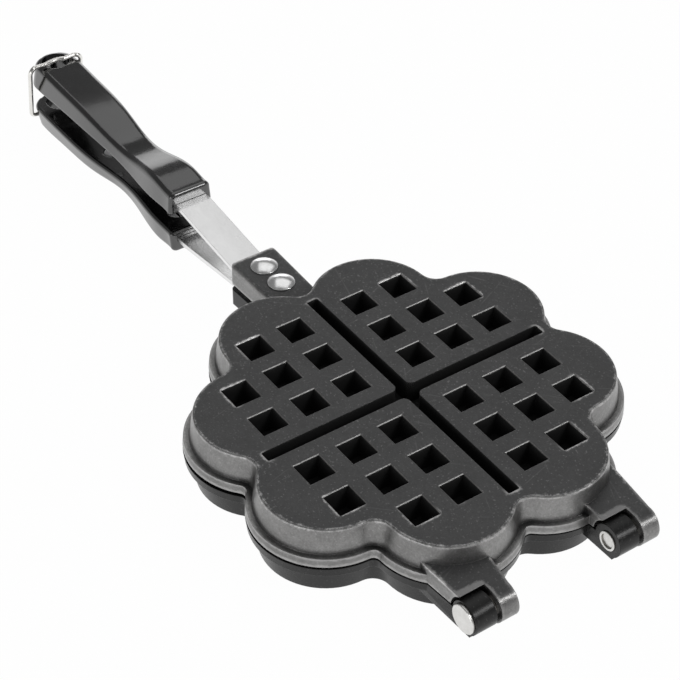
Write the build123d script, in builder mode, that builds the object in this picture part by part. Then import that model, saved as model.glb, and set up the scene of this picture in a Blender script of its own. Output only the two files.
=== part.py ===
from build123d import *
import os
from math import cos, radians, sin, tan

# Stovetop waffle iron: two lobed cast plates that mirror each other across the parting plane, hinged
# at the front (+X) on two headed pins, each carried by a steel strap in a moulded handle (-X).
# Millimetres and degrees. The origin is the centre of the face the iron stands on, +Z up.
# Lengths named "behind" run towards -X.

# ---- the lobed plates
plate_height = 14.05  # parting face to outer face, each plate
parting_gap = 0.4  # between the two rims when both are parallel
lobe_count = 8
lobe_centre_radius = 54.3
lobe_radius = 24.1  # at the outer face
notch_radius = 6.75  # the hollow between two lobes, at the outer face
wall_height = 10.5  # outer face down to the ledge
wall_draft = 8.7
edge_round = 0.8  # round on the outer face's edge
ledge_width = 2.1
rim_draft = 6.0
skin = 2.6  # wall behind the outer face
wall_thickness = 2.6  # lobed side wall, at the outer face
cavity_draft = 5.0

# ---- the waffle grid: hollow studs in the batter cavities, seen outside as square pockets
cell_pitch = 18.0
first_cell = 14.6  # centre line to the first row
rows = 3  # rows each way in a quarter, less its outer corner
pocket_width = 10.6
pocket_depth = 9.4
pocket_draft = 5.0
pocket_chamfer = 0.35
stud_wall = 2.2
stud_tip = 2.4  # thickness of the stud's closed end
slot_width = 3.8  # the cross that parts the four hearts
slot_reach = 7.4  # its ends, past the circle of lobe centres
slot_depth = 9.4
slot_corner = 2.6  # round where the two slots meet
slot_end = 0.7
rib_wall = 2.2
heart_round = 1.5

# ---- tang blocks, straps and rivets
tang_reach = 25.1  # rear end, behind the lobes
tang_width = 19.4
tang_height = 9.0  # above the parting plane
tang_round = 2.0
strap_width = 14.4
strap_thickness = 2.0
strap_seat = 3.0  # parting plane to the strap's outer face in the tang
strap_past_rivet = 5.7  # front end, ahead of the front rivet
strap_bend_behind = 2.0  # where it starts to rise, behind the tang
strap_slope = 6.8
strap_level = 3.8  # length levelled out ahead of the handle
strap_bend_radius = 8.0
strap_shoulder = 7.0  # full width runs this far into the handle
tongue_width = 9.6  # narrower inside the handle's waist
tongue_end = 77.7  # behind the handle's front
tongue_round = 3.0
strap_clearance = 0.1
rivet_pitch = 12.2
rivet_inset = 8.6  # rear rivet, ahead of the tang's rear end
rivet_shank = 2.4  # radius
rivet_head = 5.4  # radius
rivet_dome = 2.1
rivet_brim = 0.5  # straight edge below the dome
rivet_tail = 4.2  # radius of the set end under the strap
rivet_tail_height = 0.7
rivet_clearance = 0.05

# ---- handles
bare_strap = 46.8  # strap that shows between tang block and handle
handle_length = 125.1
handle_stations = [
    # evenly spaced from the front up to the hang hole: inner and outer face off the parting plane,
    # then half the width at the inner and at the outer face
    (3.0, 13.4, 9.3, 8.5),
    (2.6, 14.0, 9.0, 8.0),
    (2.0, 10.8, 8.0, 6.9),
    (2.7, 9.8, 7.8, 6.7),
    (3.8, 12.0, 8.8, 7.6),
    (4.1, 13.3, 9.5, 8.1),
    (3.5, 13.7, 9.8, 8.2),
]
tail_gap = 2.7  # parting plane to the inner face at the rear end
tail_top = 14.0  # parting plane to the outer face there
tail_half_width = 8.1  # at the outer face
handle_end_radius = 9.9
hang_hole_radius = 6.15
handle_edge = 2.4
handle_inner_edge = 1.4
front_edge = 1.6
screw_offsets = (12.7, 67.7)  # behind the handle's front
screw_head_radius = 3.6
screw_head_height = 2.0
screw_head_round = 0.7
screw_radius = 1.9
screw_bite = 2.4  # how far the screw reaches past the strap
screw_clearance = 0.05
screw_head_clearance = 0.4
screw_slot = 1.0  # width, and its depth is half the head

# ---- hinge
hinge_reach = 9.6  # pin axis, ahead of the lobes
hinge_spacing = 62.8  # middle of one hinge to middle of the other
hinge_width = 20.8
ear_width = 6.3
knuckle_width = 11.7
ear_radius = 6.8
knuckle_radius = 6.5
relief_radius = 7.7  # hollow in each arm round the other plate's knuckle or ear
foot_reach = 3.0  # the knuckle's flat foot, past the pin axis
foot_height = 2.3
foot_overhang = 1.5
pin_radius = 3.8
pin_head_radius = 5.6
pin_head_height = 1.1
pin_head_chamfer = 0.3
pin_tail = 0.5  # how far the peened end stands out
pin_cup_radius = 2.9
pin_cup_depth = 0.6
pin_run_clearance = 0.05  # radial, in the ears
pin_press_clearance = 0.01  # radial, in the knuckles
pin_seat_gap = 0.05

# ---- latch bail
wire_radius = 1.0
bail_behind_hole = 4.5  # pivot, behind the hang hole's centre
bail_pivot_drop = 8.5  # below the parting plane
bail_side_clearance = 0.25
bail_top_clearance = 0.5
bail_lean = 8.0  # how far forward of the pivot the top corners stand
bail_bow = 4.6  # how far back the crossbar bows in its middle
bail_reach = 3.9  # its ends, inside the handle's widest line
bail_bend = 2.6
bail_bow_bend = 12.0
bail_pivot_clearance = 0.08  # radial, and twice that past its ends

# ---- rest pose: the rims meet at the hinge side first, so the top half stands a little open
ajar_angle = 0.75

# ---- worked out from the above
past = 1.0  # how far a cut runs past the face it opens
parting_z = plate_height + parting_gap / 2
rim_z = parting_z + parting_gap / 2
top_z = rim_z + plate_height
ledge_z = top_z - wall_height
skin_z = top_z - skin
wall_growth = wall_height * tan(radians(wall_draft))
rim_height = ledge_z - rim_z
rim_growth = wall_growth + ledge_width + rim_height * tan(radians(rim_draft))
plate_reach = lobe_centre_radius + lobe_radius
stud_height = pocket_depth + stud_tip - skin
stud_tip_width = pocket_width - 2 * pocket_depth * tan(radians(pocket_draft)) + 2 * stud_wall
rib_width = slot_width + 2 * rib_wall
tang_end = plate_reach + tang_reach
tang_top_z = parting_z + tang_height
rear_rivet = tang_end - rivet_inset
rivet_places = (rear_rivet - rivet_pitch, rear_rivet)
strap_front = rivet_places[0] - strap_past_rivet
strap_bend = tang_end + strap_bend_behind
handle_front = tang_end + bare_strap
strap_rise_end = handle_front - strap_level
strap_z = parting_z + strap_seat - strap_thickness / 2
strap_tail_z = strap_z + (strap_rise_end - strap_bend) * tan(radians(strap_slope))
shoulder = handle_front + strap_shoulder
strap_tail = handle_front + tongue_end
screw_places = [handle_front + offset for offset in screw_offsets]
hang_hole = handle_front + handle_length - handle_end_radius
pin_x = plate_reach + hinge_reach
bail_pivot = hang_hole + bail_behind_hole
bail_pivot_z = parting_z - bail_pivot_drop
bail_tip = handle_end_radius - bail_reach
parting_plane = Plane.XY.offset(parting_z)


def lobed_outline(growth):
    """The lobed outline of the outer face, grown or shrunk by growth."""
    with PolarLocations(lobe_centre_radius, lobe_count, start_angle=180 / lobe_count):
        Circle(lobe_radius + growth)
    Circle(lobe_centre_radius)
    notches = vertices().sort_by_distance((0, 0, 0))[:lobe_count]
    fillet(notches, notch_radius - growth)


def cell_places():
    """Centres of the waffle cells: a square grid in each quarter without its outer corner."""
    steps = [first_cell + i * cell_pitch for i in range(rows)]
    quarter = [(x, y) for x in steps for y in steps if not x == y == steps[-1]]
    return [(sx * x, sy * y) for sx in (-1, 1) for sy in (-1, 1) for x, y in quarter]


def side_plane(y):
    """An upright plane along the iron at y, drawn with X to the right and Z up."""
    return Plane(origin=(0, y, 0), x_dir=(1, 0, 0), z_dir=(0, -1, 0))


def hinge_bands():
    """For each hinge, its first side, the knuckle's inner side, the ear's inner side and its last side."""
    for middle in (-hinge_spacing / 2, hinge_spacing / 2):
        first = middle - hinge_width / 2
        last = middle + hinge_width / 2
        yield first, first + knuckle_width, last - ear_width, last


def pin_disc(radius, start, end):
    """A solid disc on the pin axis from y = start to y = end."""
    with BuildSketch(side_plane(start)) as disc:
        with Locations((pin_x, parting_z)):
            Circle(radius)
    return extrude(disc.sketch, amount=start - end, mode=Mode.PRIVATE)


# ---- the form both plates share, above the parting plane: lobes, hearts, studs, pockets, arms, tang
hinges = list(hinge_bands())
with BuildPart() as plate_form:
    with BuildSketch(Plane.XY.offset(rim_z)):
        lobed_outline(rim_growth)
    extrude(amount=rim_height, taper=rim_draft)
    with BuildSketch(Plane.XY.offset(ledge_z)):
        lobed_outline(wall_growth)
    extrude(amount=wall_height, taper=wall_draft)
    fillet(faces().sort_by(Axis.Z)[-1].edges(), edge_round)

    # tang block for the strap, its long top edges and rear corners rounded
    with BuildSketch(Plane.XY.offset(rim_z)):
        with Locations((-(tang_end + lobe_centre_radius) / 2, 0)):
            Rectangle(tang_end - lobe_centre_radius, tang_width)
    extrude(amount=tang_top_z - rim_z)
    tang_edges = edges().filter_by(Axis.X).filter_by(lambda e: abs(e.center().Z - tang_top_z) < 0.01)
    rear_corners = edges().filter_by(Axis.Z).filter_by(lambda e: abs(e.center().X + tang_end) < 0.01)
    fillet(tang_edges + rear_corners, tang_round)

    # hinge arms, as high as the ears
    with BuildSketch(Plane.XY.offset(rim_z)):
        for first, _, _, last in hinges:
            with Locations(((pin_x + lobe_centre_radius) / 2, (first + last) / 2)):
                Rectangle(pin_x - lobe_centre_radius, hinge_width)
    extrude(amount=parting_z + ear_radius - rim_z)

    # heart-shaped batter cavities, with the cross-shaped rib left between them
    with BuildSketch(Plane.XY.offset(rim_z)) as hearts:
        lobed_outline(wall_growth - wall_thickness)
        Rectangle(3 * lobe_centre_radius, rib_width, mode=Mode.SUBTRACT)
        Rectangle(rib_width, 3 * lobe_centre_radius, mode=Mode.SUBTRACT)
        by_rib = hearts.vertices().filter_by(lambda v: min(abs(v.X), abs(v.Y)) < rib_width / 2 + 0.01)
        fillet(by_rib, heart_round)
    extrude(amount=skin_z - rim_z, taper=cavity_draft, mode=Mode.SUBTRACT)

    # channel for the strap, open to the parting face and to the rear, and the rivet holes
    with BuildSketch(side_plane(0)):
        channel_front = strap_front - strap_clearance
        with Locations((-(tang_end + past + channel_front) / 2, parting_z + strap_seat / 2)):
            Rectangle(tang_end + past - channel_front, strap_seat)
    extrude(amount=strap_width / 2 + strap_clearance, both=True, mode=Mode.SUBTRACT)
    with Locations(*[(-x, 0, tang_top_z) for x in rivet_places]):
        Hole(rivet_shank + rivet_clearance)

    # studs that press the waffle's cells, and the square pockets behind them
    with BuildSketch(Plane.XY.offset(skin_z - stud_height)):
        with Locations(*cell_places()):
            Rectangle(stud_tip_width, stud_tip_width)
    extrude(amount=stud_height, taper=-pocket_draft)
    with BuildSketch(Plane.XY.offset(top_z)):
        with Locations(*cell_places()):
            Rectangle(pocket_width, pocket_width)
    extrude(amount=-pocket_depth, taper=pocket_draft, mode=Mode.SUBTRACT)
    with BuildSketch(Plane.XY.offset(top_z)):
        with Locations(*cell_places()):
            Rectangle(pocket_width + 2 * pocket_chamfer, pocket_width + 2 * pocket_chamfer)
    extrude(amount=-pocket_chamfer, taper=45, mode=Mode.SUBTRACT)

    # the cross slot, hollow behind the rib
    with BuildSketch(Plane.XY.offset(top_z)) as cross:
        slot_length = 2 * (lobe_centre_radius + slot_reach)
        Rectangle(slot_length, slot_width)
        Rectangle(slot_width, slot_length)
        fillet(cross.vertices().sort_by_distance((0, 0, 0))[:4], slot_corner)
        fillet(cross.vertices().sort_by_distance((0, 0, 0))[-8:], slot_end)
    extrude(amount=-slot_depth, mode=Mode.SUBTRACT)

# ---- plates: the upper one carries the ears, the lower one the knuckles
with BuildPart() as upper_plate:
    add(plate_form.part)
    add([pin_disc(relief_radius, first - past, ear) for first, _, ear, _ in hinges], mode=Mode.SUBTRACT)
    add([pin_disc(ear_radius, ear, last) for _, _, ear, last in hinges])
    ear_bore = pin_radius + pin_run_clearance
    add([pin_disc(ear_bore, ear - past, last + past) for _, _, ear, last in hinges], mode=Mode.SUBTRACT)

with BuildPart() as lower_plate:
    mirror(plate_form.part, about=parting_plane)
    add([pin_disc(relief_radius, side, last + past) for _, side, _, last in hinges], mode=Mode.SUBTRACT)
    add([pin_disc(knuckle_radius, first, side) for first, side, _, _ in hinges])
    # a flat foot under each knuckle, a little wider than it
    with BuildSketch(Plane.XY.offset(parting_z - ear_radius)):
        foot_width = knuckle_width + foot_overhang
        foot_length = knuckle_radius + foot_reach
        for first, _, _, _ in hinges:
            with Locations((pin_x + foot_reach - foot_length / 2, first + foot_width / 2)):
                Rectangle(foot_length, foot_width)
    extrude(amount=foot_height)
    knuckle_bore = pin_radius + pin_press_clearance
    add([pin_disc(knuckle_bore, first - past, last) for first, _, _, last in hinges], mode=Mode.SUBTRACT)

# ---- hinge pins: each driven in from the iron's outer side, its far end peened to a shallow cup
pins = []
for first, _, _, last in hinges:
    outward = -1 if first < 0 else 1
    head_face, tail_face = (first, last) if first < 0 else (last, first)
    head_seat = head_face + outward * pin_seat_gap
    tail_tip = tail_face - outward * pin_tail
    with BuildPart() as pin:
        add(pin_disc(pin_radius, head_seat, tail_tip))
        add(pin_disc(pin_head_radius, head_seat, head_seat + outward * pin_head_height))
        add(pin_disc(pin_cup_radius, tail_tip + outward * pin_cup_depth, tail_tip), mode=Mode.SUBTRACT)
        head_rim = edges().filter_by(GeomType.CIRCLE).sort_by(Axis.Y)[0 if first < 0 else -1]
        chamfer(head_rim, pin_head_chamfer)
    pins.append(pin)
right_hinge_pin, left_hinge_pin = pins


# ---- straps: flat in the tang, rising to the handle, then a level tongue inside it
def strap_blank(extra):
    """The upper strap before it is drilled, grown all round by extra."""
    half = strap_thickness / 2 + extra
    path = [
        (-strap_front + extra, strap_z),
        (-strap_bend, strap_z),
        (-strap_rise_end, strap_tail_z),
        (-strap_tail - extra, strap_tail_z),
    ]
    with BuildPart() as blank:
        with BuildSketch(side_plane(0)) as profile:
            with BuildLine():
                above = [(x, z + half) for x, z in path]
                below = [(x, z - half) for x, z in reversed(path)]
                Polyline(*above, *below, close=True)
            make_face()
            bends = profile.vertices().filter_by(lambda v: -strap_rise_end - 1 < v.X < -strap_bend + 1)
            fillet(bends, strap_bend_radius)
        extrude(amount=strap_width, both=True)
        with BuildSketch() as plan:
            with Locations((-(strap_front + shoulder) / 2, 0)):
                Rectangle(shoulder - strap_front + 2 * extra, strap_width + 2 * extra)
            with Locations((-(strap_front + strap_tail) / 2, 0)):
                Rectangle(strap_tail - strap_front + 2 * extra, tongue_width + 2 * extra)
            fillet(plan.vertices().sort_by(Axis.X)[:2], tongue_round)
        extrude(amount=2 * top_z, mode=Mode.INTERSECT)
    return blank.part


with BuildPart() as upper_strap:
    add(strap_blank(0))
    with Locations(*[(-x, 0, parting_z + strap_seat) for x in rivet_places]):
        Hole(rivet_shank + rivet_clearance)
    with Locations(*[(-x, 0, strap_tail_z + strap_thickness / 2) for x in screw_places]):
        Hole(screw_radius + screw_clearance)

with BuildPart() as lower_strap:
    mirror(upper_strap.part, about=parting_plane)

# ---- tang rivet: domed head on the block, shank through block and strap, flat set end
strap_under_z = parting_z + strap_seat - strap_thickness
with BuildPart() as rivet:
    with BuildSketch(Plane.XZ):
        with BuildLine():
            crown = (0, tang_top_z + rivet_dome)
            brim = (rivet_head, tang_top_z + rivet_brim)
            TangentArc(crown, brim, tangent=(1, 0))
            Polyline(
                crown,
                (0, strap_under_z - rivet_tail_height),
                (rivet_tail, strap_under_z - rivet_tail_height),
                (rivet_tail, strap_under_z),
                (rivet_shank, strap_under_z),
                (rivet_shank, tang_top_z),
                (rivet_head, tang_top_z),
                brim,
            )
        make_face()
    revolve(axis=Axis.Z)

# ---- handle screw: slotted pan head against the strap's inner side, shank up into the handle
strap_inner_z = strap_tail_z - strap_thickness / 2
from_below = (Align.CENTER, Align.CENTER, Align.MIN)
with BuildPart() as screw:
    with Locations((0, 0, strap_inner_z - screw_head_height)):
        Cylinder(screw_head_radius, screw_head_height, align=from_below)
    fillet(edges().filter_by(GeomType.CIRCLE).sort_by(Axis.Z)[0], screw_head_round)
    with Locations((0, 0, strap_inner_z)):
        Cylinder(screw_radius, strap_thickness + screw_bite, align=from_below)
    with Locations((0, 0, strap_inner_z - screw_head_height)):
        Box(3 * screw_head_radius, screw_slot, screw_head_height, mode=Mode.SUBTRACT)


# ---- handles, the upper one lofted through sections across it
def handle_section(behind, inner, outer, inner_half, outer_half):
    """A rounded trapezoid across the upper handle, at a distance behind the centre."""
    across = Plane(origin=(-behind, 0, parting_z), x_dir=(0, 1, 0), z_dir=(1, 0, 0))
    corners = [(-inner_half, inner), (inner_half, inner), (outer_half, outer), (-outer_half, outer)]
    with BuildSketch(across) as section:
        with BuildLine():
            Polyline(*corners, close=True)
        make_face()
        fillet(section.vertices().sort_by(Axis.Y)[:2], handle_inner_edge)
        fillet(section.vertices().sort_by(Axis.Y)[-2:], handle_edge)
    return section.sketch


station_pitch = (hang_hole - handle_front) / len(handle_stations)
sections = [handle_section(handle_front + i * station_pitch, *sizes) for i, sizes in enumerate(handle_stations)]
tail_sizes = (tail_gap, tail_top, handle_end_radius, tail_half_width)
tail_section = handle_section(hang_hole, *tail_sizes)
beyond_tail = handle_section(hang_hole + station_pitch, *tail_sizes)
half_tail = split(tail_section, bisect_by=Plane.XZ, keep=Keep.TOP)
with BuildPart() as upper_handle:
    # the loft runs on past the hang hole, so that it is level there, and is cut off at the hole's centre
    loft([*sections, tail_section, beyond_tail])
    split(bisect_by=Plane(origin=(-hang_hole, 0, 0), z_dir=(1, 0, 0)), keep=Keep.TOP)
    fillet(faces().sort_by(Axis.X)[-1].edges(), front_edge)
    # rounded rear end: half of the last section turned about the hang hole
    revolve(half_tail, axis=Axis((-hang_hole, 0, 0), (0, 0, -1)), revolution_arc=180)
    with Locations((-hang_hole, 0, parting_z + tail_top)):
        Hole(hang_hole_radius)
    # slot for the strap, and from the inner face a counterbore and a bore for each screw
    add(strap_blank(strap_clearance), mode=Mode.SUBTRACT)
    with Locations(*[(-x, 0, parting_z) for x in screw_places]):
        head_bore = screw_head_radius + screw_head_clearance
        Cylinder(head_bore, strap_inner_z - parting_z, align=from_below, mode=Mode.SUBTRACT)
        shank_end = strap_inner_z + strap_thickness + screw_bite + screw_clearance
        shank_bore = screw_radius + screw_clearance
        Cylinder(shank_bore, shank_end - parting_z, align=from_below, mode=Mode.SUBTRACT)

with BuildPart() as lower_handle:
    mirror(upper_handle.part, about=parting_plane)
    # blind holes in both sides for the bail's ends
    for side in (-1, 1):
        with BuildSketch(side_plane(side * (bail_tip - 2 * bail_pivot_clearance))):
            with Locations((-bail_pivot, bail_pivot_z)):
                Circle(wire_radius + bail_pivot_clearance)
        extrude(amount=-side * handle_end_radius, mode=Mode.SUBTRACT)

# ---- latch bail: one wire, in at both sides of the lower handle, up and over the upper one
corner_x = -bail_pivot + bail_lean
side_y = handle_end_radius + bail_side_clearance + wire_radius
lift = (pin_x + bail_pivot) * sin(radians(ajar_angle))
crossbar_z = parting_z + tail_top * cos(radians(ajar_angle)) + lift + bail_top_clearance + wire_radius
with BuildPart() as latch_bail:
    with BuildLine() as wire:
        FilletPolyline(
            (-bail_pivot, -bail_tip, bail_pivot_z),
            (-bail_pivot, -side_y, bail_pivot_z),
            (corner_x, -side_y, crossbar_z),
            (corner_x - bail_bow, 0, crossbar_z),
            (corner_x, side_y, crossbar_z),
            (-bail_pivot, side_y, bail_pivot_z),
            (-bail_pivot, bail_tip, bail_pivot_z),
            radius=[bail_bend, bail_bend, bail_bow_bend, bail_bend, bail_bend],
        )
    with BuildSketch(Plane(origin=wire.line @ 0, z_dir=wire.line % 0)):
        Circle(wire_radius)
    sweep()

# ---- every piece of the upper half, built level, is turned up about the pins to its rest pose
upper_half = {"upper_plate": upper_plate, "upper_strap": upper_strap, "upper_handle": upper_handle}
lower_half = {
    "lower_plate": lower_plate,
    "lower_strap": lower_strap,
    "lower_handle": lower_handle,
    "right_hinge_pin": right_hinge_pin,
    "left_hinge_pin": left_hinge_pin,
    "latch_bail": latch_bail,
}
for fastener, form, places in (("rivet", rivet, rivet_places), ("screw", screw, screw_places)):
    for which, place in zip(("front", "rear"), places):
        with BuildPart() as above:
            add(Pos(-place, 0, 0) * form.part)
        with BuildPart() as below:
            mirror(above.part, about=parting_plane)
        upper_half[f"upper_{which}_{fastener}"] = above
        lower_half[f"lower_{which}_{fastener}"] = below

pin_axis = Axis((pin_x, 0, parting_z), (0, 1, 0))
pieces = dict(lower_half)
for name, level in upper_half.items():
    with BuildPart() as raised:
        add(level.part.rotate(pin_axis, ajar_angle))
    pieces[name] = raised

os.makedirs("parts", exist_ok=True)
for name, piece in pieces.items():
    piece.part.label = name
    export_step(piece.part, f"parts/{name}.step")
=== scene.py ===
from math import hypot, radians, tan

import bpy
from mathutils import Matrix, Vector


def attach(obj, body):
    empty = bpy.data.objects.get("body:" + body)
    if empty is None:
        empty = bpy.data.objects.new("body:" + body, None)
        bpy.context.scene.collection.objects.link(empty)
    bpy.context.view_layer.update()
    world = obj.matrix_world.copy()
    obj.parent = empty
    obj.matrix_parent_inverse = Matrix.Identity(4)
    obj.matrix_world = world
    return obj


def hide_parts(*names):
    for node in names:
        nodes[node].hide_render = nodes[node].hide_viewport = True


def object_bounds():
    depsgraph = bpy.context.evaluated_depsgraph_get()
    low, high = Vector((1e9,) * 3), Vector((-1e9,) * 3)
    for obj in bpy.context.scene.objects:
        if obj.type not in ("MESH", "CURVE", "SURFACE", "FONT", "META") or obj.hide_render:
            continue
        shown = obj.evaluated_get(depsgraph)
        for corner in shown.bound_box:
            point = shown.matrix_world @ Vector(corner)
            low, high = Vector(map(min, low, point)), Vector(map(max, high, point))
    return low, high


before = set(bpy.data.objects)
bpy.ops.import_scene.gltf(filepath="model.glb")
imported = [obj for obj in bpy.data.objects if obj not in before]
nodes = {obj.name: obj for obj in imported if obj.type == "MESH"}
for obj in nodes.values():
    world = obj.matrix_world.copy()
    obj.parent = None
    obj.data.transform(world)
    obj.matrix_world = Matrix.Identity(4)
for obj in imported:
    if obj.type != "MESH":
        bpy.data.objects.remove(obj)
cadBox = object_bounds()
shown = dict(nodes)  # what stands for each CAD piece in the picture
pinLine = 0.088  # the hinge pins, from the plates' middle
ajarDegrees = 0.75  # the upper half's tilt about them at rest
print("frame loaded:", len(nodes), "pieces")


# forms nearer to the photo than the CAD pieces: copies whose points are pushed a little, sizes in millimetres

partingHeight = 14.25  # where the halves meet
mergeDistance = 0.000002  # in metres


def reform(name, body, pushes):  # pushes in turn: (test for its points, shift, stretch across)
    piece = bpy.data.objects.new(name + "Form", nodes[name].data.copy())
    bpy.context.scene.collection.objects.link(piece)
    bpy.ops.object.select_all(action="DESELECT")
    piece.select_set(True)
    bpy.context.view_layer.objects.active = piece
    bpy.ops.object.mode_set(mode="EDIT")
    bpy.ops.mesh.select_mode(type="VERT")
    bpy.ops.mesh.select_all(action="SELECT")
    bpy.ops.mesh.remove_doubles(threshold=mergeDistance, use_sharp_edge_from_normals=True)
    for chosen, shift, stretched in pushes:
        bpy.ops.mesh.select_all(action="DESELECT")
        bpy.ops.object.mode_set(mode="OBJECT")
        for point in piece.data.vertices:
            point.select = chosen(*(1000 * place for place in point.co))
        bpy.ops.object.mode_set(mode="EDIT")
        bpy.ops.transform.translate(value=[share / 1000 for share in shift])
        if stretched != 1.0:
            bpy.ops.transform.resize(value=(1.0, stretched, 1.0), center_override=(0, 0, 0))
    bpy.ops.object.mode_set(mode="OBJECT")
    bpy.ops.mesh.customdata_custom_splitnormals_clear()
    bpy.ops.object.modifier_add(type="WEIGHTED_NORMAL")
    piece.modifiers[-1].keep_sharp = True
    bpy.ops.object.modifier_apply(modifier=piece.modifiers[-1].name)
    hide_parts(name)
    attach(piece, body)
    shown[name] = piece


handleForm = {
    "wider": 1.15,
    "holeCentre": -265.5,
    "holeReach": 6.4,  # points this near to the hang hole's axis stay
    "slotHalf": 7.35,  # points inside the strap's slot stay
    "tongueHalf": 5.2,  # the slot is narrower behind tongueStart
    "tongueStart": -158.0,
    "slotTop": 8.2,  # off the parting plane
    "innerHalf": 4.0,  # past the slot's top, points this near to the middle stay
}


def handleSides(x, y, z, half):
    if hypot(x - handleForm["holeCentre"], y) < handleForm["holeReach"]:
        return False
    lift = (1000 * pinLine - x) * tan(radians(ajarDegrees)) if half == "upper" else 0.0
    height = abs(z - partingHeight - lift)
    side = abs(y)
    slotHalf = handleForm["tongueHalf"] if x < handleForm["tongueStart"] else handleForm["slotHalf"]
    return side > slotHalf or (height > handleForm["slotTop"] and side > handleForm["innerHalf"])


for half in ("upper", "lower"):
    sides = [(lambda x, y, z: handleSides(x, y, z, half), (0, 0, 0), handleForm["wider"])]
    reform(half + "_handle", half + "_half", sides)

bailForm = {
    "tip": 5.0,  # its ends and legs lie further out than this
    "wider": 1.5,
    "top": 28.0,  # the crossbar and its corners lie above this
    "aside": -1.6,  # they stand towards the near side
    "middle": 6.0,  # half the length of the crossbar's middle
    "middleForward": 2.0,
}


def bailMiddle(x, y, z):
    return z > bailForm["top"] and abs(y - bailForm["aside"]) < bailForm["middle"]


reform("latch_bail", "bail", [
    (lambda x, y, z: y > bailForm["tip"], (0, bailForm["wider"], 0), 1.0),
    (lambda x, y, z: y < -bailForm["tip"], (0, -bailForm["wider"], 0), 1.0),
    (lambda x, y, z: z > bailForm["top"], (0, bailForm["aside"], 0), 1.0),
    (bailMiddle, (bailForm["middleForward"], 0, 0), 1.0),
])

hingeStart = 79.0
hingeShifts = {  # bands across the hinges, ahead of hingeStart, as (from y, to y): shift
    (-46.0, -40.5): 1.0,
    (-31.2, -28.0): -2.1,
    (-27.9, -26.5): -3.0,
    (-22.2, -20.0): -2.2,
    (20.0, 22.2): 0.2,
    (31.6, 34.9): -2.9,
    (35.0, 36.2): -3.8,
    (40.5, 46.0): -3.0,
}
hingePushes = [
    (lambda x, y, z, low=low, high=high: x > hingeStart and low < y < high, (0, shift, 0), 1.0)
    for (low, high), shift in hingeShifts.items()
]
slotForm = {
    "start": 1.0,  # the walls of the cross's slots lie between these, off its middle lines
    "half": 2.35,
    "corner": 4.62,  # the round corners end here
    "reach": 62.5,
    "floor": 18.5,  # the slots in the upper plate lie above this
    "wider": 0.5,
}
tangForm = {"front": -79.0, "side": 7.4, "wider": 0.9}


def inSlot(x, y, z, half, along, signX, signY):
    depth = z if half == "upper" else 2 * partingHeight - z
    if depth < slotForm["floor"]:
        return False
    if along == "corner":
        return all(slotForm["start"] < place < slotForm["corner"] for place in (signX * x, signY * y))
    run, side = (abs(x), signY * y) if along == "x" else (abs(y), signX * x)
    return slotForm["corner"] < run < slotForm["reach"] and slotForm["start"] < side < slotForm["half"]


def platePushes(half):
    pushes = list(hingePushes)
    wide = slotForm["wider"]
    for sign in (-1, 1):
        pushes.append((
            lambda x, y, z, sign=sign: x < tangForm["front"] and sign * y > tangForm["side"],
            (0, sign * tangForm["wider"], 0), 1.0,
        ))
        pushes.append((
            lambda x, y, z, sign=sign: inSlot(x, y, z, half, "x", 0, sign),
            (0, sign * wide, 0), 1.0,
        ))
        pushes.append((
            lambda x, y, z, sign=sign: inSlot(x, y, z, half, "y", sign, 0),
            (sign * wide, 0, 0), 1.0,
        ))
        for other in (-1, 1):
            pushes.append((
                lambda x, y, z, sign=sign, other=other: inSlot(x, y, z, half, "corner", sign, other),
                (sign * wide, other * wide, 0), 1.0,
            ))
    return pushes


for half in ("upper", "lower"):
    reform(half + "_plate", half + "_half", platePushes(half))
for side in ("right", "left"):
    reform(side + "_hinge_pin", "lower_half", hingePushes)
print("nearer forms made")


# small helpers for node trees

def feed(tree, socket, value):  # a socket is linked, anything else is set as the value
    if isinstance(value, bpy.types.NodeSocket):
        tree.links.new(value, socket)
    else:
        socket.default_value = value


def addNode(tree, kind, inputs=None, **settings):
    node = tree.nodes.new(kind)
    for name, value in settings.items():
        setattr(node, name, value)
    for name, value in (inputs or {}).items():
        feed(tree, node.inputs[name], value)
    return node


def calc(tree, operation, *values, clamp=False):
    node = addNode(tree, "ShaderNodeMath", operation=operation, use_clamp=clamp)
    for socket, value in zip(node.inputs, values):
        feed(tree, socket, value)
    return node.outputs[0]


def spread(tree, value, low, high, toLow=0.0, toHigh=1.0):  # smooth step between low and high
    inputs = {"Value": value, "From Min": low, "From Max": high, "To Min": toLow, "To Max": toHigh}
    return addNode(tree, "ShaderNodeMapRange", inputs, interpolation_type="SMOOTHSTEP").outputs[0]


def mixColour(tree, share, first, second):
    node = addNode(tree, "ShaderNodeMix", data_type="RGBA")
    for index, value in ((0, share), (6, first), (7, second)):
        feed(tree, node.inputs[index], value)
    return node.outputs[2]


def mixValue(tree, share, first, second):
    node = addNode(tree, "ShaderNodeMix", data_type="FLOAT")
    for index, value in ((0, share), (2, first), (3, second)):
        feed(tree, node.inputs[index], value)
    return node.outputs[0]


def stretch(tree, vector, scale, turn=(0, 0, 0)):
    return addNode(tree, "ShaderNodeMapping", {"Vector": vector, "Scale": scale, "Rotation": turn}).outputs[0]


def noise(tree, vector, scale, detail=2.0, roughness=0.5):
    inputs = {"Vector": vector, "Scale": scale, "Detail": detail, "Roughness": roughness}
    return addNode(tree, "ShaderNodeTexNoise", inputs).outputs[0]


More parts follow.
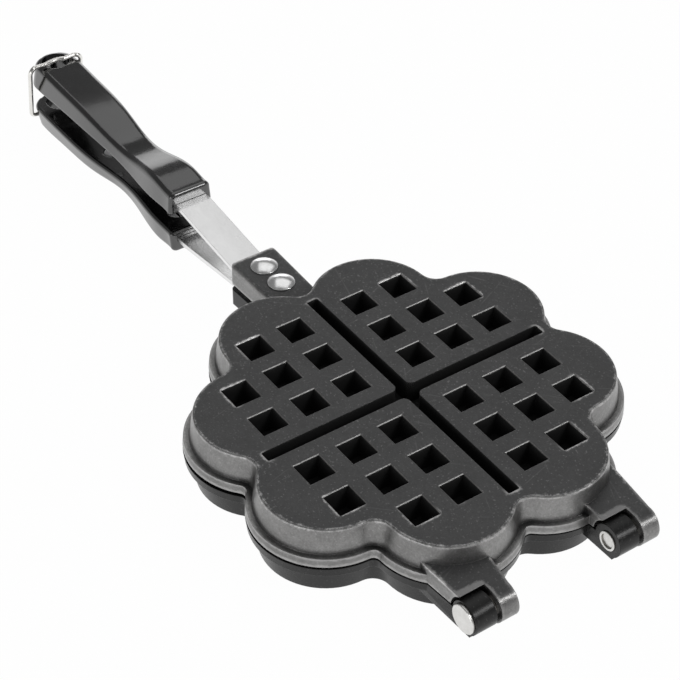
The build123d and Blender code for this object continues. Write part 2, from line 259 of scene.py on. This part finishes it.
def newGroup(name, inputs, outputs):  # inputs as {name: (socket type, default)}
    tree = bpy.data.node_groups.new(name, "ShaderNodeTree")
    for socketName, (kind, default) in inputs.items():
        socket = tree.interface.new_socket(socketName, in_out="INPUT", socket_type="NodeSocket" + kind)
        if default is not None:
            socket.default_value = default
    for socketName, kind in outputs.items():
        tree.interface.new_socket(socketName, in_out="OUTPUT", socket_type="NodeSocket" + kind)
    return tree, tree.nodes.new("NodeGroupInput").outputs, tree.nodes.new("NodeGroupOutput").inputs


def useGroup(tree, group, **inputs):
    node = addNode(tree, "ShaderNodeGroup", node_tree=group)
    for name, value in inputs.items():
        feed(tree, node.inputs[name], value)
    return node.outputs


# effects that several finishes share

def makeCastGrain():  # fine sand texture, slow clouding and small light flecks
    tree, given, made = newGroup(
        "castGrain",
        {"vector": ("Vector", None), "grain": ("Float", 0.0006), "cloud": ("Float", 0.02)},
        {"height": "Float", "clouding": "Float", "flecks": "Float"},
    )
    fine = noise(tree, given["vector"], calc(tree, "DIVIDE", 1.0, given["grain"]), 3.0, 0.6)
    coarse = noise(tree, given["vector"], calc(tree, "DIVIDE", 0.35, given["grain"]), 2.0, 0.5)
    feed(tree, made["height"], calc(tree, "MULTIPLY_ADD", fine, 0.65, calc(tree, "MULTIPLY", coarse, 0.35)))
    slow = noise(tree, given["vector"], calc(tree, "DIVIDE", 1.0, given["cloud"]), 4.0, 0.6)
    feed(tree, made["clouding"], spread(tree, slow, 0.3, 0.7))
    dots = noise(tree, given["vector"], calc(tree, "DIVIDE", 0.7, given["grain"]), 1.0, 0.5)
    feed(tree, made["flecks"], spread(tree, dots, 0.63, 0.77))
    return tree


def makeEdgeWear():  # bare metal along outer edges, broken up by noise
    tree, given, made = newGroup(
        "edgeWear",
        {
            "vector": ("Vector", None), "reach": ("Float", 0.001),
            "gaps": ("Float", 0.004), "start": ("Float", 0.3),
        },
        {"mask": "Float"},
    )
    distance = {"Distance": given["reach"]}
    inside = addNode(tree, "ShaderNodeAmbientOcclusion", distance, inside=True, only_local=True, samples=8)
    edge = calc(tree, "SUBTRACT", 1.0, inside.outputs["AO"])
    patches = noise(tree, given["vector"], calc(tree, "DIVIDE", 1.0, given["gaps"]), 6.0, 0.75)
    level = calc(tree, "MULTIPLY_ADD", calc(tree, "SUBTRACT", patches, 0.5), 0.9, edge)
    feed(tree, made["mask"], spread(tree, level, given["start"], calc(tree, "ADD", given["start"], 0.18)))
    return tree


def makeRecessShade():  # mask for painted shade: 1 deep in hollows, 0 in the open
    tree, given, made = newGroup("recessShade", {"reach": ("Float", 0.008)}, {"mask": "Float"})
    distance = {"Distance": given["reach"]}
    clear = addNode(tree, "ShaderNodeAmbientOcclusion", distance, only_local=True, samples=8)
    feed(tree, made["mask"], calc(tree, "SUBTRACT", 1.0, clear.outputs["AO"]))
    return tree


def makeBrushing():  # fine lines along X
    tree, given, made = newGroup(
        "brushing",
        {"vector": ("Vector", None), "line": ("Float", 0.0002), "length": ("Float", 0.02)},
        {"height": "Float", "streaks": "Float"},
    )
    scale = addNode(tree, "ShaderNodeCombineXYZ")
    feed(tree, scale.inputs[0], calc(tree, "DIVIDE", 1.0, given["length"]))
    for index in (1, 2):
        feed(tree, scale.inputs[index], calc(tree, "DIVIDE", 1.0, given["line"]))
    lines = noise(tree, stretch(tree, given["vector"], scale.outputs[0]), 1.0, 3.0, 0.6)
    feed(tree, made["height"], lines)
    feed(tree, made["streaks"], spread(tree, lines, 0.35, 0.65))
    return tree


def makeScratches():  # thin hairlines at several angles
    tree, given, made = newGroup(
        "scratches",
        {"vector": ("Vector", None), "spacing": ("Float", 0.012), "amount": ("Float", 0.5)},
        {"mask": "Float"},
    )
    total = 0.0
    for turn in (0.4, 1.3, 2.3):
        turned = stretch(tree, given["vector"], (1.0, 1.0, 1.0), (0, 0, turn))
        swept = stretch(tree, turned, (0.12, 1.0, 0.3))
        inputs = {"Vector": swept, "Scale": calc(tree, "DIVIDE", 1.0, given["spacing"])}
        cells = addNode(tree, "ShaderNodeTexVoronoi", inputs, feature="DISTANCE_TO_EDGE")
        line = spread(tree, cells.outputs[0], 0.0, 0.012, 1.0, 0.0)
        fade = spread(tree, noise(tree, turned, 70.0, 2.0), 0.52, 0.66)
        total = calc(tree, "ADD", total, calc(tree, "MULTIPLY", line, fade))
    feed(tree, made["mask"], calc(tree, "MULTIPLY", total, given["amount"], clamp=True))
    return tree


castGrain = makeCastGrain()
edgeWear = makeEdgeWear()
recessShade = makeRecessShade()
brushing = makeBrushing()
scratches = makeScratches()
print("shared effects made")


# finishes

def newMaterial(name, **fixed):  # fixed values go straight onto the shader's own sockets
    material = bpy.data.materials.new(name)
    material.use_nodes = True
    tree = material.node_tree
    shader = tree.nodes["Principled BSDF"]
    for socketName, value in fixed.items():
        shader.inputs[socketName.replace("_", " ")].default_value = value
    where = addNode(tree, "ShaderNodeTexCoord").outputs
    return material, tree, shader.inputs, where


def roundedBump(tree, shader, height, depth, radius):  # grain over softened corners
    soft = addNode(tree, "ShaderNodeBevel", {"Radius": radius}, samples=6)
    inputs = {"Height": height, "Distance": depth, "Strength": 1.0, "Normal": soft.outputs[0]}
    feed(tree, shader["Normal"], addNode(tree, "ShaderNodeBump", inputs).outputs[0])


plateCoating = {
    "upper": {
        "faceColour": (0.058, 0.058, 0.0585, 1),
        # side-facing walls lighter than the top: painted light
        "wallLitColour": (0.235, 0.233, 0.230, 1),
        # the next colour is painted shade, near black, deep in the pockets and slots
        "paintedShadeColour": (0.003, 0.003, 0.003, 1),
        "wornColour": (0.62, 0.615, 0.61, 1),
        "faceRoughness": 0.46,
        "wallRoughness": 0.29,
        "faceMetal": 0.12,
        "wallMetal": 0.85,
        "rimShare": 0.92,
        "wearStart": 0.15,
        "grainDepth": 0.00009,
        "specular": 0.5,
    },
    "lower": {
        "faceColour": (0.008, 0.008, 0.008, 1),
        "wallLitColour": (0.008, 0.008, 0.008, 1),
        # the next colour is painted shade, near black, deep in hollows
        "paintedShadeColour": (0.003, 0.003, 0.003, 1),
        "wornColour": (0.25, 0.245, 0.24, 1),
        "faceRoughness": 0.32,
        "wallRoughness": 0.24,
        "faceMetal": 0.0,
        "wallMetal": 0.0,
        "rimShare": 1.0,
        "wearStart": 0.62,
        "grainDepth": 0.00003,
        "specular": 0.3,
    },
}
ledge = {"height": 0.0195, "blend": 0.0006}  # below it even level surfaces have the walls' finish, with its painted light
coating = {
    "grain": 0.0006,
    "cloud": 0.016,
    "hollowReach": 0.020,
    "scratchSpacing": 0.02,
    "flecks": 0.17,
    "scratches": 0.14,
    "edge": 0.0004,  # radius that the shading gives to edges
}
wear = {
    "reach": 0.0018,
    "gaps": 0.0022,
    "inside": 0.058,  # none nearer to the middle, all past outside: it lies on the lobes' outline
    "outside": 0.064,
    "hinges": 0.0765,  # ahead of this only hingeShare of it
    "hingeBlend": 0.002,
    "hingeShare": 0.35,
    "rimShare": 0.4,  # of it on the rim below the ledge
}


def coatPlate(which):
    looks = plateCoating[which]
    fixed = {"IOR": 1.5, "Specular_IOR_Level": looks["specular"]}
    material, tree, shader, where = newMaterial(which + "Coating", **fixed)
    spot = where["Object"]
    grain = useGroup(tree, castGrain, vector=spot, grain=coating["grain"], cloud=coating["cloud"])
    place = addNode(tree, "ShaderNodeSeparateXYZ", {"Vector": spot}).outputs
    facing = addNode(tree, "ShaderNodeSeparateXYZ", {"Vector": where["Normal"]}).outputs[2]
    level = spread(tree, calc(tree, "ABSOLUTE", facing), 0.60, 0.97)
    lift = calc(tree, "MULTIPLY", calc(tree, "SUBTRACT", pinLine, place[0]), tan(radians(ajarDegrees)))
    height = calc(tree, "SUBTRACT", place[2], lift)
    aboveLedge = spread(tree, height, ledge["height"], ledge["height"] + ledge["blend"])
    level = calc(tree, "MULTIPLY", level, aboveLedge)
    # painted shade: the plate goes near black deep in its pockets and slots
    paintedShade = spread(tree, useGroup(tree, recessShade, reach=coating["hollowReach"])["mask"], 0.38, 0.52)
    edges = {"reach": wear["reach"], "gaps": wear["gaps"], "start": looks["wearStart"]}
    worn = useGroup(tree, edgeWear, vector=spot, **edges)["mask"]
    flat = addNode(tree, "ShaderNodeCombineXYZ", {"X": place[0], "Y": place[1]}).outputs[0]
    distance = addNode(tree, "ShaderNodeVectorMath", {0: flat}, operation="LENGTH").outputs["Value"]
    ring = spread(tree, distance, wear["inside"], wear["outside"])
    hinges = wear["hinges"]
    ahead = spread(tree, place[0], hinges, hinges + wear["hingeBlend"], 1.0, wear["hingeShare"])
    worn = calc(tree, "MULTIPLY", worn, calc(tree, "MULTIPLY", ring, ahead))
    worn = calc(tree, "MULTIPLY", worn, mixValue(tree, aboveLedge, wear["rimShare"], 1.0))
    lines = useGroup(tree, scratches, vector=spot, spacing=coating["scratchSpacing"], amount=0.5)["mask"]

    # painted light: side-facing walls get a lighter colour than up-facing surfaces
    colour = mixColour(tree, level, looks["wallLitColour"], looks["faceColour"])
    shade = calc(tree, "MULTIPLY_ADD", grain["clouding"], 0.30, 0.84)
    shade = calc(tree, "MULTIPLY", shade, mixValue(tree, aboveLedge, looks["rimShare"], 1.0))
    shade = calc(tree, "MULTIPLY", shade, spread(tree, grain["height"], 0.3, 0.7, 0.84, 1.16))
    tinted = addNode(tree, "ShaderNodeVectorMath", {0: colour}, operation="SCALE")
    feed(tree, tinted.inputs["Scale"], shade)
    flecks = calc(tree, "MULTIPLY", grain["flecks"], coating["flecks"])
    marks = calc(tree, "ADD", flecks, calc(tree, "MULTIPLY", lines, coating["scratches"]))
    colour = mixColour(tree, marks, tinted.outputs[0], looks["wornColour"])
    colour = mixColour(tree, worn, colour, looks["wornColour"])
    # painted shade in the hollows
    colour = mixColour(tree, paintedShade, colour, looks["paintedShadeColour"])
    feed(tree, shader["Base Color"], colour)
    clear = calc(tree, "SUBTRACT", 1.0, paintedShade)
    roughness = mixValue(tree, level, looks["wallRoughness"], looks["faceRoughness"])
    roughness = calc(tree, "MULTIPLY_ADD", grain["clouding"], 0.08, roughness)
    feed(tree, shader["Roughness"], calc(tree, "MAXIMUM", roughness, calc(tree, "MULTIPLY", paintedShade, 0.8)))
    metal = mixValue(tree, worn, mixValue(tree, level, looks["wallMetal"], looks["faceMetal"]), 0.9)
    feed(tree, shader["Metallic"], calc(tree, "MULTIPLY", metal, clear))
    roundedBump(tree, shader, grain["height"], looks["grainDepth"], coating["edge"])
    return material


strapSteel = {
    "colour": (0.84, 0.84, 0.84, 1),
    # dark stands for streaks and clouding, and for painted shade in hollows
    "dark": (0.52, 0.52, 0.52, 1),
    "roughness": 0.24,
    "line": 0.00025,
    "length": 0.03,
    "lineDepth": 0.00003,
    "grain": 0.001,
    "cloud": 0.015,
    "reach": 0.003,  # painted shade in hollows of this size
    "edge": 0.0003,
}


def finishStrap():
    material, tree, shader, where = newMaterial("strapSteel", Metallic=1.0, Anisotropic=0.4)
    spot = where["Object"]
    lines = useGroup(tree, brushing, vector=spot, line=strapSteel["line"], length=strapSteel["length"])
    grain = useGroup(tree, castGrain, vector=spot, grain=strapSteel["grain"], cloud=strapSteel["cloud"])
    paintedShade = useGroup(tree, recessShade, reach=strapSteel["reach"])["mask"]
    clouds = calc(tree, "MULTIPLY", grain["clouding"], 0.08)
    dull = calc(tree, "ADD", calc(tree, "MULTIPLY", lines["streaks"], 0.10), clouds)
    # dull also carries the painted shade of hollows
    dull = calc(tree, "MAXIMUM", dull, paintedShade)
    feed(tree, shader["Base Color"], mixColour(tree, dull, strapSteel["colour"], strapSteel["dark"]))
    feed(tree, shader["Roughness"], calc(tree, "MULTIPLY_ADD", dull, 0.2, strapSteel["roughness"]))
    roundedBump(tree, shader, lines["height"], strapSteel["lineDepth"], strapSteel["edge"])
    return material


handleResin = {
    "colour": (0.004, 0.004, 0.0042, 1),
    "rub": (0.04, 0.04, 0.04, 1),
    "roughness": 0.10,
    "grain": 0.0015,
    "cloud": 0.03,
    "grainDepth": 0.00002,
    "scratchSpacing": 0.015,
    "rubReach": 0.0006,
    "rubGaps": 0.006,
    "rubStart": 0.55,
    "edge": 0.0004,
}


def finishHandle():
    fixed = {"IOR": 1.85, "Coat_Weight": 0.3, "Coat_Roughness": 0.04}
    material, tree, shader, where = newMaterial("handleResin", **fixed)
    spot = where["Object"]
    grain = useGroup(tree, castGrain, vector=spot, grain=handleResin["grain"], cloud=handleResin["cloud"])
    lines = useGroup(tree, scratches, vector=spot, spacing=handleResin["scratchSpacing"], amount=0.5)["mask"]
    edges = {
        "reach": handleResin["rubReach"], "gaps": handleResin["rubGaps"], "start": handleResin["rubStart"],
    }
    rubbed = useGroup(tree, edgeWear, vector=spot, **edges)["mask"]
    marks = calc(tree, "MAXIMUM", calc(tree, "MULTIPLY", lines, 0.3), calc(tree, "MULTIPLY", rubbed, 0.5))
    feed(tree, shader["Base Color"], mixColour(tree, marks, handleResin["colour"], handleResin["rub"]))
    clouds = calc(tree, "MULTIPLY", grain["clouding"], 0.07)
    dull = calc(tree, "ADD", clouds, calc(tree, "MULTIPLY", marks, 0.2))
    feed(tree, shader["Roughness"], calc(tree, "ADD", dull, handleResin["roughness"]))
    roundedBump(tree, shader, grain["height"], handleResin["grainDepth"], handleResin["edge"])
    return material


# each dark colour is painted contact shade, and also where clouding and scratches dull the metal
brightMetals = {
    "rivetAlloy": {
        "colour": (0.90, 0.90, 0.90, 1),
        "dark": (0.30, 0.30, 0.30, 1),
        "roughness": 0.20,
        "grain": 0.0004,
        "reach": 0.0012,  # painted contact shade this near to other surfaces
    },
    "pinSteel": {
        "colour": (0.72, 0.715, 0.70, 1),
        "dark": (0.22, 0.20, 0.17, 1),
        "roughness": 0.30,
        "grain": 0.0005,
        "reach": 0.0010,
    },
    "screwZinc": {
        "colour": (0.60, 0.60, 0.61, 1),
        "dark": (0.06, 0.06, 0.06, 1),
        "roughness": 0.35,
        "grain": 0.0004,
        "reach": 0.0100,
    },
    "bailWire": {
        "colour": (0.82, 0.81, 0.78, 1),
        "dark": (0.35, 0.34, 0.32, 1),
        "roughness": 0.16,
        "grain": 0.0005,
        "reach": 0.0008,
    },
}
metalMarks = {"cloud": 0.003, "scratchSpacing": 0.004, "grainDepth": 0.00002, "edge": 0.0003}


def finishMetal(name):
    looks = brightMetals[name]
    material, tree, shader, where = newMaterial(name, Metallic=1.0)
    spot = where["Object"]
    grain = useGroup(tree, castGrain, vector=spot, grain=looks["grain"], cloud=metalMarks["cloud"])
    lines = useGroup(tree, scratches, vector=spot, spacing=metalMarks["scratchSpacing"], amount=0.5)["mask"]
    # painted shade: darker near other surfaces, as contact shadow around rivets, pin heads and wire, and deep
    # in the screws' counterbores
    near = addNode(tree, "ShaderNodeAmbientOcclusion", {"Distance": looks["reach"]}, samples=8)
    paintedShade = spread(tree, near.outputs["AO"], 0.40, 0.90, 1.0, 0.0)
    clouds = calc(tree, "MULTIPLY", grain["clouding"], 0.14)
    marks = calc(tree, "ADD", clouds, calc(tree, "MULTIPLY", lines, 0.25))
    # dull also carries the painted contact shade
    dull = calc(tree, "MAXIMUM", marks, paintedShade)
    feed(tree, shader["Base Color"], mixColour(tree, dull, looks["colour"], looks["dark"]))
    feed(tree, shader["Roughness"], calc(tree, "MULTIPLY_ADD", dull, 0.25, looks["roughness"]))
    roundedBump(tree, shader, grain["height"], metalMarks["grainDepth"], metalMarks["edge"])
    return material


def dress(material, *names):  # every slot of a piece gets the finish
    for name in names:
        for slot in shown[name].material_slots:
            slot.material = material


dress(coatPlate("upper"), "upper_plate")
dress(coatPlate("lower"), "lower_plate")
dress(finishStrap(), "upper_strap", "lower_strap")
dress(finishHandle(), "upper_handle", "lower_handle")
rivetAlloy = finishMetal("rivetAlloy")
screwZinc = finishMetal("screwZinc")
for half in ("upper", "lower"):
    for place in ("front", "rear"):
        dress(rivetAlloy, half + "_" + place + "_rivet")
        dress(screwZinc, half + "_" + place + "_screw")
dress(finishMetal("pinSteel"), "right_hinge_pin", "left_hinge_pin")
dress(finishMetal("bailWire"), "latch_bail")
print("finishes on every piece")


# studio: white floor and world, soft lamps, camera

studio = {
    "floorSize": 8.0,
    "floorColour": (0.88, 0.88, 0.88, 1),
    "floorGlow": 0.985,  # share of plain white in what the camera sees, the rest keeps the shadow
    "room": 0.20,  # world level overhead
    "horizon": 0.85,  # world level at eye height
    "horizonTop": 0.4,  # sine of the height at which the room's level is reached
    "lamps": {
        # name: (direction, distance, size, watts)
        "over": ((-0.33, 0.30, 0.90), 1.7, 1.6, 5.8),
        "back": ((-0.85, 0.50, 0.12), 1.8, 0.8, 2.4),
        "key": ((0.64, 0.45, 0.63), 1.6, 0.45, 5.5),
        "front": ((0.35, -0.92, 0.22), 1.5, 0.9, 4.0),
    },
}


def seenDirectly(tree):  # 1 for what the camera sees, also by reflection
    path = addNode(tree, "ShaderNodeLightPath").outputs
    seen = calc(tree, "MAXIMUM", path["Is Camera Ray"], path["Is Glossy Ray"])
    return calc(tree, "MAXIMUM", seen, path["Is Transmission Ray"])


def setWorld():  # plain white to the camera, dimmer overhead for everything else
    world = bpy.data.worlds.new("studioWorld")
    world.use_nodes = True
    bpy.context.scene.world = world
    tree = world.node_tree
    background = tree.nodes["Background"].inputs
    background["Color"].default_value = (1, 1, 1, 1)
    direction = addNode(tree, "ShaderNodeTexCoord").outputs["Generated"]
    height = addNode(tree, "ShaderNodeSeparateXYZ", {"Vector": direction}).outputs[2]
    level = spread(tree, height, 0.0, studio["horizonTop"], studio["horizon"], studio["room"])
    toCamera = addNode(tree, "ShaderNodeLightPath").outputs["Is Camera Ray"]
    feed(tree, background["Strength"], mixValue(tree, toCamera, level, 1.0))


def layFloor():
    bpy.ops.object.select_all(action="DESELECT")
    bpy.ops.mesh.primitive_plane_add(size=studio["floorSize"], location=(0, 0, cadBox[0][2]))
    floor = bpy.context.object
    floor.name = "studioFloor"
    material, tree, shader, _ = newMaterial("floorWhite", Roughness=0.9, Specular_IOR_Level=0.0)
    shader["Base Color"].default_value = studio["floorColour"]
    glow = addNode(tree, "ShaderNodeEmission", {"Color": (1, 1, 1, 1), "Strength": 1.0})
    both = addNode(tree, "ShaderNodeMixShader")
    feed(tree, both.inputs[0], calc(tree, "MULTIPLY", seenDirectly(tree), studio["floorGlow"]))
    feed(tree, both.inputs[1], tree.nodes["Principled BSDF"].outputs[0])
    feed(tree, both.inputs[2], glow.outputs[0])
    feed(tree, tree.nodes["Material Output"].inputs["Surface"], both.outputs[0])
    floor.data.materials.append(material)


def hangLamps():
    for name, (direction, distance, size, watts) in studio["lamps"].items():
        bpy.ops.object.light_add(type="AREA", location=[share * distance for share in direction])
        lamp = bpy.context.object
        lamp.name = name + "Lamp"
        lamp.data.size = size
        lamp.data.energy = watts
        lamp.rotation_euler = lamp.location.to_track_quat("Z", "Y").to_euler()  # towards the origin


camera = {
    "place": (0.40898, -0.31734, 0.48841),
    "turn": (49.914, -0.282, 55.131),  # degrees
    "lens": 101.05,
    "sensor": 36.0,
}


def setCamera():
    bpy.ops.object.camera_add(location=camera["place"], rotation=[radians(angle) for angle in camera["turn"]])
    taken = bpy.context.object
    taken.data.lens = camera["lens"]
    taken.data.sensor_width = camera["sensor"]
    bpy.context.scene.camera = taken


setWorld()
layFloor()
hangLamps()
setCamera()
bpy.context.scene.view_settings.view_transform = "Standard"
print("studio and camera set")
